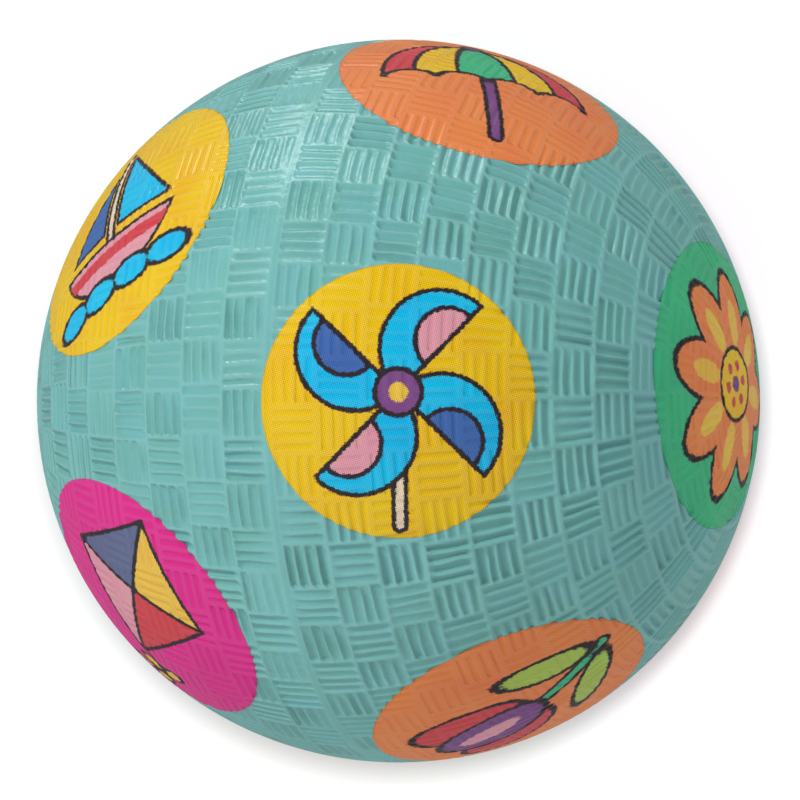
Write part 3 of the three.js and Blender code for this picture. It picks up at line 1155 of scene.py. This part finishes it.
class PLAYBALL_OT_prints(bpy.types.Operator):
    """Lay the ink prints over the woven skin"""

    bl_idname = "playball.prints"
    bl_label = "Ink Prints"

    def execute(self, context):
        weave = context.scene.playball_weave
        settings = context.scene.playball_prints
        points, triangles, relief = self.fine_skin(weave)
        lift = settings.film / 5  # of the ink off the rubber
        for (motif, ground, spin), direction in print_places():
            width = settings.front_width if motif is FRONT_PRINT[0] else settings.width
            edge_angle = math.asin(width / 2 / BALL_RADIUS)
            edge_cosine, edge_mm = math.cos(edge_angle), edge_angle * BALL_RADIUS / MM
            cap, faces, depth = cap_of(points, triangles, relief, direction, edge_cosine)
            u, v = print_plane(cap, direction, math.radians(spin))
            edge = edge_mm - np.hypot(u, v)
            fill = settings.fill * np.clip(RIM_SHARE + edge / RIM_FADE_MM, 0, 1)
            film, film_faces = film_of(cap, faces, settings.film, lift, fill)
            u, v, edge = np.tile([u, v, edge], 2)
            layers = motif(u, v)
            ink = print_ink(settings, context.scene.playball_finish, motif.__name__, ground, layers)
            node = "print_" + motif.__name__
            piece = make_piece(node + "_film", film, film_faces, ink, "ball")
            set_attribute(piece, "relief", np.tile(depth, 2))
            set_attribute(piece, "below", np.repeat([0, 1], len(cap)))
            for number, (_, distance, _) in enumerate(layers):
                set_attribute(piece, f"layer_{number}", distance)
            set_attribute(piece, "edge", edge)
            plane = np.stack([u, v], 1) * MM / settings.screen
            layer = piece.data.uv_layers.new(name="print")
            layer.data.foreach_set("uv", plane[film_faces.ravel()].astype(np.float32).ravel())
            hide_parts(node)
        return {"FINISHED"}

    def fine_skin(self, weave):
        """Both halves' outsides in a finer mesh of the same relief."""
        plain, _, turn = outer_skin(weave, 1, PRINT_PARTS)
        close_plain_pole(plain, turn, PRINT_PARTS)
        valve, _, _ = outer_skin(weave, -1, PRINT_PARTS)
        points = np.concatenate([plain.points(1), valve.points(-1)])
        triangles = np.concatenate([plain.triangles, valve.triangles + len(plain.places)])
        relief = np.concatenate([plain.places[:, 3], valve.places[:, 3]])
        return points, triangles, relief


def turned_piece(profile, segments):
    """A profile carried round the axis, from [off axis, level] pairs that run round the solid.

    The first and last pairs lie on the axis, or the profile closes on itself.
    """
    latitude, radius = profile_rows(profile)
    turn = np.arange(segments) * 2 * np.pi / segments
    skin = Skin()
    tipped = profile[0][0] == 0
    rows = slice(1, -1) if tipped else slice(None, -1)
    index = skin.add(latitude[rows], turn, radius[rows])
    if tipped:
        skin.pole(index[0], radius[0, 0], first=True)
        skin.pole(index[-1], radius[-1, 0], first=False)
    else:
        skin.close(index[-1], index[0])
    return skin


def rounded(profile, size, steps=4):
    """Round a profile's inner corners: each becomes a curve between two points beside it.

    The curve is a quadratic one with the corner as its middle control point. It takes less
    than half of each side, so that the curves at both ends of a short side stay apart.
    """
    points = np.array(profile, float)
    result = [points[:1]]
    share = np.linspace(0, 1, steps + 1)[:, None]
    for before, corner, after in zip(points[:-2], points[1:-1], points[2:]):
        back, ahead = before - corner, after - corner
        back_length, ahead_length = np.linalg.norm(back), np.linalg.norm(ahead)
        reach = min(size, back_length / 2.2, ahead_length / 2.2)
        start = corner + back / back_length * reach
        end = corner + ahead / ahead_length * reach
        result.append((1 - share) ** 2 * start + 2 * share * (1 - share) * corner + share ** 2 * end)
    result.append(points[-1:])
    return np.concatenate(result)


class PLAYBALL_OT_valve(bpy.types.Operator):
    """Make the valve's boss and its plug"""

    bl_idname = "playball.valve"
    bl_label = "Valve"

    def execute(self, context):
        rubber = valve_rubber(context.scene.playball_finish)
        for node, body, corners in (
            ("valve_boss", "ball", self.boss_corners()),
            ("valve_plug", "plug", self.plug_corners()),
        ):
            skin = turned_piece(rounded(corners, VALVE_EDGE), VALVE_SEGMENTS)
            piece = make_piece(node + "_turned", skin.points(-1), skin.triangles, rubber, body)
            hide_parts(node)
        return {"FINISHED"}

    def plug_corners(self):
        """A stem, a flat head, and a lead-in in two slopes to the needle's guide."""
        stem, under = 3.5 * MM, INNER_RADIUS + FIT
        guide, guide_end = 1.0 * MM, PAD_LEVEL - 8 * MM
        lead_in = [(2.6 * MM, PAD_LEVEL), (2.2 * MM, PAD_LEVEL - 0.2 * MM), (guide, PAD_LEVEL - 0.5 * MM)]
        return [
            (0, PLUG_END), (stem, PLUG_END), (stem, under), (HEAD_RADIUS, under),
            (HEAD_RADIUS, PAD_LEVEL), *lead_in, (guide, guide_end), (0, guide_end),
        ]

    def boss_corners(self):
        """A flange under the wall, a fillet, and a stem round the plug's bore.

        The profile starts and ends half-way along the bore, where no edge is to be rounded.
        """
        bore, wall, flange_height, fillet = 3.8 * MM, 2.7 * MM, 2.5 * MM, 2 * MM
        stem = bore + wall
        bond = INNER_RADIUS - FIT
        under = bond - flange_height
        flange_edge = math.sqrt(bond ** 2 - FLANGE_RADIUS ** 2)
        spigot_foot = math.sqrt(bond ** 2 - HEAD_RADIUS ** 2)
        start = (bore, (BOSS_END + INNER_RADIUS) / 2)
        return [
            start, (bore, BOSS_END), (stem, BOSS_END), (stem, under - fillet),
            (stem + fillet, under), (FLANGE_RADIUS, under), (FLANGE_RADIUS, flange_edge),
            (HEAD_RADIUS, spigot_foot), (HEAD_RADIUS, INNER_RADIUS), (bore, INNER_RADIUS), start,
        ]


class PLAYBALL_OT_stage(bpy.types.Operator):
    """Set the camera, the white floor and the soft light"""

    bl_idname = "playball.stage"
    bl_label = "Stage"

    def execute(self, context):
        settings = context.scene.playball_stage
        back = Vector((math.sin(FRONT_LEAN), 0, math.cos(FRONT_LEAN)))
        up = Vector((0, 1, 0))
        axes = Matrix((up.cross(back), up, back)).transposed()
        self.camera(context, settings, axes)
        self.floor(context, settings)
        # Each lamp: its power, its width, and its place right of the ball, above it and in front
        key, side, glint, front = (
            self.lamp(context, name, power, width, axes @ Vector(place))
            for name, power, width, place in (
                ("soft_box", settings.key, 0.3, (-0.48, 0.336, 0.544)),
                ("side_lamp", settings.side, 0.3, (0.36, 0.6, 0.384)),
                ("glint_lamp", settings.glint, 0.25, (-0.28, 0.744, 0.04)),
                ("floor_lamp", settings.front, 0.06, (-0.011, 0.033, settings.distance)),
            )
        )
        for lamp in (key, side):
            lamp.visible_glossy = False
            lamp.light_linking.receiver_collection = bpy.data.collections["not_floor"]
        glint.visible_diffuse = False
        front.light_linking.receiver_collection = bpy.data.collections["floor"]
        bright_side = axes @ Vector((-0.46, -0.87, 0.17))  # to the left of the ball and below it
        self.sky(context, settings, bright_side.normalized())
        context.scene.view_settings.view_transform = "Standard"
        return {"FINISHED"}

    def camera(self, context, settings, axes):
        """Looks down on the ball, with the frame moved a little so that the ball sits left."""
        data = bpy.data.cameras.new("camera")
        data.lens = settings.lens
        data.shift_x, data.shift_y = (shift / PICTURE_PIXELS for shift in FRAME_SHIFT_PIXELS)
        camera = bpy.data.objects.new("camera", data)
        camera.rotation_mode = "QUATERNION"
        turn = axes @ Matrix.Rotation(-settings.roll, 3, "Z")
        camera.rotation_quaternion = turn.to_quaternion()
        camera.location = axes.col[2] * settings.distance
        context.scene.collection.objects.link(camera)
        context.scene.camera = camera

    def floor(self, context, settings):
        """A wide sheet of white paper under the ball.

        To the camera it glows a little, so that it is white, less the ball's shadow. In the
        ball's sheen it is darker. A collection with it alone and one without it are for lamps
        that light only the floor or only the ball.
        """
        paper_shade, sheen_shade = 0.8, 0.3
        mesh = bpy.data.meshes.new("floor")
        signs = ((-1, -1), (1, -1), (1, 1), (-1, 1))
        level = -BALL_RADIUS - FLOOR_GAP
        mesh.from_pydata([(x * FLOOR_REACH, y * FLOOR_REACH, level) for x, y in signs], [], [(0, 1, 2, 3)])
        material, tree = new_material("white_paper")
        camera_ray = add_node(tree, "LightPath", out="Is Camera Ray")
        glossy_ray = camera_ray.node.outputs["Is Glossy Ray"]
        glow = add_node(tree, "Math", {0: camera_ray, 1: settings.glow}, operation="MULTIPLY")
        shade = add_node(tree, "MapRange", {
            "Value": glossy_ray, "To Min": paper_shade, "To Max": sheen_shade})
        paper = add_node(tree, "BsdfDiffuse", {"Color": shade})
        light = add_node(tree, "Emission", {"Strength": glow})
        total = add_node(tree, "AddShader", {0: paper, 1: light})
        add_node(tree, "OutputMaterial", {"Surface": total})
        mesh.materials.append(material)
        floor = bpy.data.objects.new("floor", mesh)
        context.scene.collection.objects.link(floor)
        for name, state in (("floor", "INCLUDE"), ("not_floor", "EXCLUDE")):
            linked = bpy.data.collections.new(name)
            linked.objects.link(floor)
            linked.collection_objects[0].light_linking.link_state = state

    def lamp(self, context, name, power, width, place):
        """A square lamp that faces the ball's centre."""
        data = bpy.data.lights.new(name, "AREA")
        data.shape = "SQUARE"
        data.size = width
        data.energy = power
        lamp = bpy.data.objects.new(name, data)
        lamp.rotation_mode = "QUATERNION"
        lamp.rotation_quaternion = place.to_track_quat("Z", "Y")
        lamp.location = place
        context.scene.collection.objects.link(lamp)
        return lamp

    def sky(self, context, settings, bright_side):
        """Light from all round, evenly stronger towards one side, which the camera sees as white."""
        world = bpy.data.worlds.new("sky")
        world.use_nodes = True
        tree = world.node_tree
        tree.nodes.clear()
        way = add_node(tree, "TexCoord", out="Generated")
        side = add_node(tree, "VectorMath", {0: way, 1: bright_side}, "Value", operation="DOT_PRODUCT")
        strength = add_node(tree, "MapRange", {
            "Value": side, "From Min": -1.0,
            "To Min": settings.sky - settings.slant, "To Max": settings.sky + settings.slant})
        camera_ray = add_node(tree, "LightPath", out="Is Camera Ray")
        seen = add_node(tree, "Math", {0: strength, 1: camera_ray}, operation="MAXIMUM")
        light = add_node(tree, "Background", {"Strength": seen})
        add_node(tree, "OutputWorld", {"Surface": light})
        context.scene.world = world


class PLAYBALL_PT_panel(bpy.types.Panel):
    """Lists the play ball's settings and the buttons that build its pieces"""

    bl_idname = "PLAYBALL_PT_panel"
    bl_label = "Play Ball"
    bl_space_type = "VIEW_3D"
    bl_region_type = "UI"
    bl_category = "Play Ball"

    def draw(self, context):
        for group in GROUPS:
            settings = getattr(context.scene, group)
            box = self.layout.box()
            for name in settings.bl_rna.properties.keys():
                if name not in ("rna_type", "name"):
                    box.prop(settings, name)
        for operator in OPERATORS:
            self.layout.operator(operator.bl_idname)


GROUPS = {
    "playball_weave": WeaveSettings,
    "playball_prints": PrintSettings,
    "playball_finish": FinishSettings,
    "playball_stage": StageSettings,
}
OPERATORS = (PLAYBALL_OT_halves, PLAYBALL_OT_prints, PLAYBALL_OT_valve, PLAYBALL_OT_stage)


def register():
    """Add the classes, and their settings to every scene."""
    for cls in (*GROUPS.values(), *OPERATORS, PLAYBALL_PT_panel):
        bpy.utils.register_class(cls)
    for name, group in GROUPS.items():
        setattr(bpy.types.Scene, name, PointerProperty(type=group))


def unregister():
    """Take the settings and the classes away again."""
    for name in GROUPS:
        delattr(bpy.types.Scene, name)
    for cls in reversed((*GROUPS.values(), *OPERATORS, PLAYBALL_PT_panel)):
        bpy.utils.unregister_class(cls)


def main():
    """Build the ball and its stage."""
    register()
    bpy.ops.playball.stage()
    bpy.ops.playball.halves()
    bpy.ops.playball.prints()
    bpy.ops.playball.valve()


if __name__ == "__main__":
    main()
